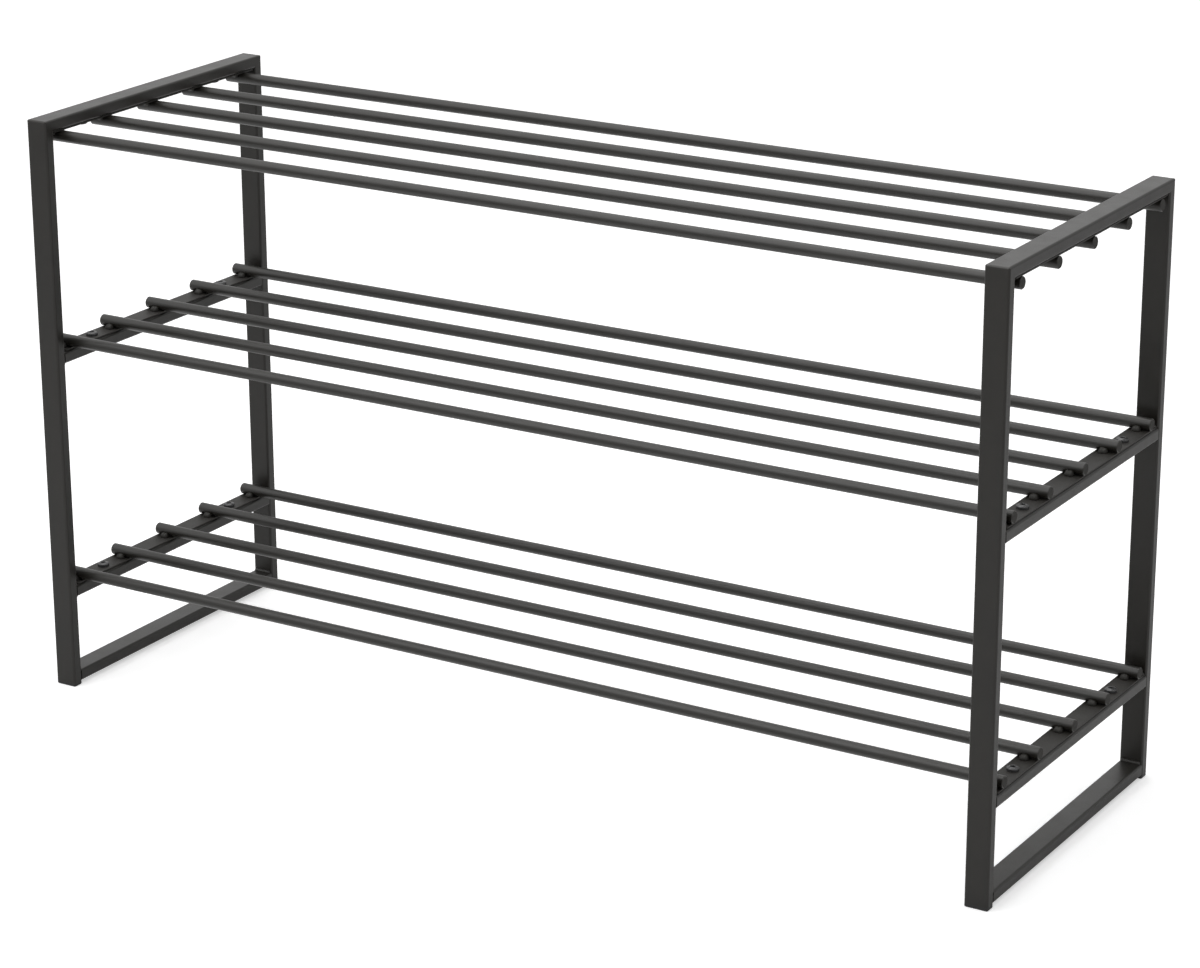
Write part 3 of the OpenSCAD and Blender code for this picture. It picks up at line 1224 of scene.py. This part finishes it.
class SHOERACK_OT_stage(bpy.types.Operator):
    """Sets the pale floor, the soft lights, the white surround and the camera"""

    bl_idname = "shoerack.stage"
    bl_label = "Set Stage"

    def execute(self, context):
        scene = context.scene
        stage = scene.shoe_rack_stage
        self.lay_floor(stage)
        self.hang_lights(stage)
        self.paint_surround(scene, stage)
        data = bpy.data.cameras.new("studio_camera")
        data.lens = stage.lens
        data.sensor_width = SENSOR_WIDTH
        data.clip_end = VIEW_REACH
        camera = bpy.data.objects.new("studio_camera", data)
        scene.collection.objects.link(camera)
        camera.matrix_world = camera_pose(stage)
        scene.camera = camera
        scene.view_settings.view_transform = "Standard"
        return {"FINISHED"}

    def lay_floor(self, stage):
        """A pale floor that the camera sees lifted towards white."""
        deselect_all()
        bpy.ops.mesh.primitive_plane_add(size=FLOOR_SIZE)
        floor = bpy.context.object
        floor.name = "studio_floor"
        material, tree, shader = new_material("studio_floor")
        shader.inputs["Base Color"].default_value = stage.floor_colour
        shader.inputs["Roughness"].default_value = FLOOR_ROUGHNESS
        shader.inputs["Specular IOR Level"].default_value = 0.0
        shader.inputs["Emission Color"].default_value = WHITE
        seen, mirrored = seen_white(tree, (-800, -200))
        spot = add_node(tree, "ShaderNodeTexCoord", (-1200, 100)).outputs["Object"]
        away = add_node(tree, "ShaderNodeVectorMath", (-1000, 100), operation="LENGTH")
        tree.links.new(spot, away.inputs[0])
        glows = (stage.floor_glow, stage.far_floor_glow)
        glow = ranged(tree, (-800, 100), away.outputs["Value"], LIT_FLOOR, glows)
        lift = math_node(tree, "MULTIPLY", (-380, -120), seen, glow)
        slant = add_node(tree, "ShaderNodeLayerWeight", (-800, -420)).outputs["Facing"]
        under = ranged(tree, (-600, -420), slant, MIRROR_SLANTS, (stage.floor_mirror, 0.0))
        under = math_node(tree, "MULTIPLY", (-380, -420), under, mirrored)
        lift = math_node(tree, "ADD", (-180, -200), lift, under)
        tree.links.new(lift, shader.inputs["Emission Strength"])
        dress(floor, material)

    def hang_lights(self, stage):
        """A wide overhead light, one on the right and one in front."""
        soft_light("overhead", OVERHEAD_PLACE, OVERHEAD_SIZE, stage.overhead_power)
        soft_light("right_side", SIDE_PLACE, SIDE_SIZE, stage.side_power)
        soft_light("front", FRONT_PLACE, FRONT_SIZE, stage.front_power)

    def paint_surround(self, scene, stage):
        """White where it is seen, darker in reflections at the flags, and a soft even light."""
        world = bpy.data.worlds.new("studio")
        scene.world = world
        world.use_nodes = True
        tree = world.node_tree
        background = tree.nodes["Background"]
        background.inputs["Color"].default_value = WHITE
        seen, mirrored = seen_white(tree, (-900, 0))
        way = add_node(tree, "ShaderNodeTexCoord", (-1300, -300)).outputs["Generated"]
        towards = add_node(tree, "ShaderNodeVectorMath", (-1100, -300), operation="DOT_PRODUCT")
        towards.inputs[1].default_value = FLAG_WAY
        tree.links.new(way, towards.inputs[0])
        shade = (1.0, 1.0 - stage.flag_depth)
        flag = ranged(tree, (-900, -300), towards.outputs["Value"], FLAG_EDGE, shade)
        split = add_node(tree, "ShaderNodeSeparateXYZ", (-1300, -560))
        tree.links.new(way, split.inputs["Vector"])
        along = math_node(tree, "ABSOLUTE", (-1100, -560), split.outputs["X"])
        shade = (1.0, 1.0 - stage.end_flag_depth)
        ends = ranged(tree, (-900, -560), along, END_FLAG_EDGE, shade)
        flag = math_node(tree, "MULTIPLY", (-780, -420), flag, ends)
        mirrored = math_node(tree, "MULTIPLY", (-660, -200), mirrored, flag)
        seen = math_node(tree, "ADD", (-420, 0), seen, mirrored, clamp=True)
        gain = math_node(tree, "MULTIPLY", (-250, 0), seen, 1.0 - stage.ambient)
        strength = math_node(tree, "ADD", (-80, 0), gain, stage.ambient)
        tree.links.new(strength, background.inputs["Strength"])


OPERATORS = (
    SHOERACK_OT_frame_tubes,
    SHOERACK_OT_shelf_rods,
    SHOERACK_OT_end_plates,
    SHOERACK_OT_frame_welds,
    SHOERACK_OT_rod_welds,
    SHOERACK_OT_button_screws,
    SHOERACK_OT_rivet_nuts,
    SHOERACK_OT_foot_caps,
    SHOERACK_OT_stage,
)


class SHOERACK_PT_finishing(bpy.types.Panel):
    """Lists the settings and steps of the rack's finishing"""

    bl_idname = "SHOERACK_PT_finishing"
    bl_label = "Shoe Rack"
    bl_space_type = "VIEW_3D"
    bl_region_type = "UI"
    bl_category = "Shoe Rack"

    def draw(self, context):
        layout = self.layout
        scene = context.scene
        for group in (scene.shoe_rack_coat, scene.shoe_rack_fittings, scene.shoe_rack_stage):
            box = layout.box()
            for name in group.__annotations__:
                box.prop(group, name)
        for operator in OPERATORS:
            layout.operator(operator.bl_idname)


CLASSES = (ShoeRackCoat, ShoeRackFittings, ShoeRackStage, *OPERATORS, SHOERACK_PT_finishing)


def register():
    """Adds the settings, the operators and the panel."""
    for item in CLASSES:
        bpy.utils.register_class(item)
    bpy.types.Scene.shoe_rack_coat = PointerProperty(type=ShoeRackCoat)
    bpy.types.Scene.shoe_rack_fittings = PointerProperty(type=ShoeRackFittings)
    bpy.types.Scene.shoe_rack_stage = PointerProperty(type=ShoeRackStage)


def unregister():
    """Takes the settings, the operators and the panel away again."""
    del bpy.types.Scene.shoe_rack_stage
    del bpy.types.Scene.shoe_rack_fittings
    del bpy.types.Scene.shoe_rack_coat
    for item in reversed(CLASSES):
        bpy.utils.unregister_class(item)


def main():
    """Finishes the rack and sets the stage."""
    register()
    bpy.ops.shoerack.frame_tubes()
    bpy.ops.shoerack.shelf_rods()
    bpy.ops.shoerack.end_plates()
    bpy.ops.shoerack.frame_welds()
    bpy.ops.shoerack.rod_welds()
    bpy.ops.shoerack.button_screws()
    bpy.ops.shoerack.rivet_nuts()
    bpy.ops.shoerack.foot_caps()
    bpy.ops.shoerack.stage()


if __name__ == "__main__":
    main()
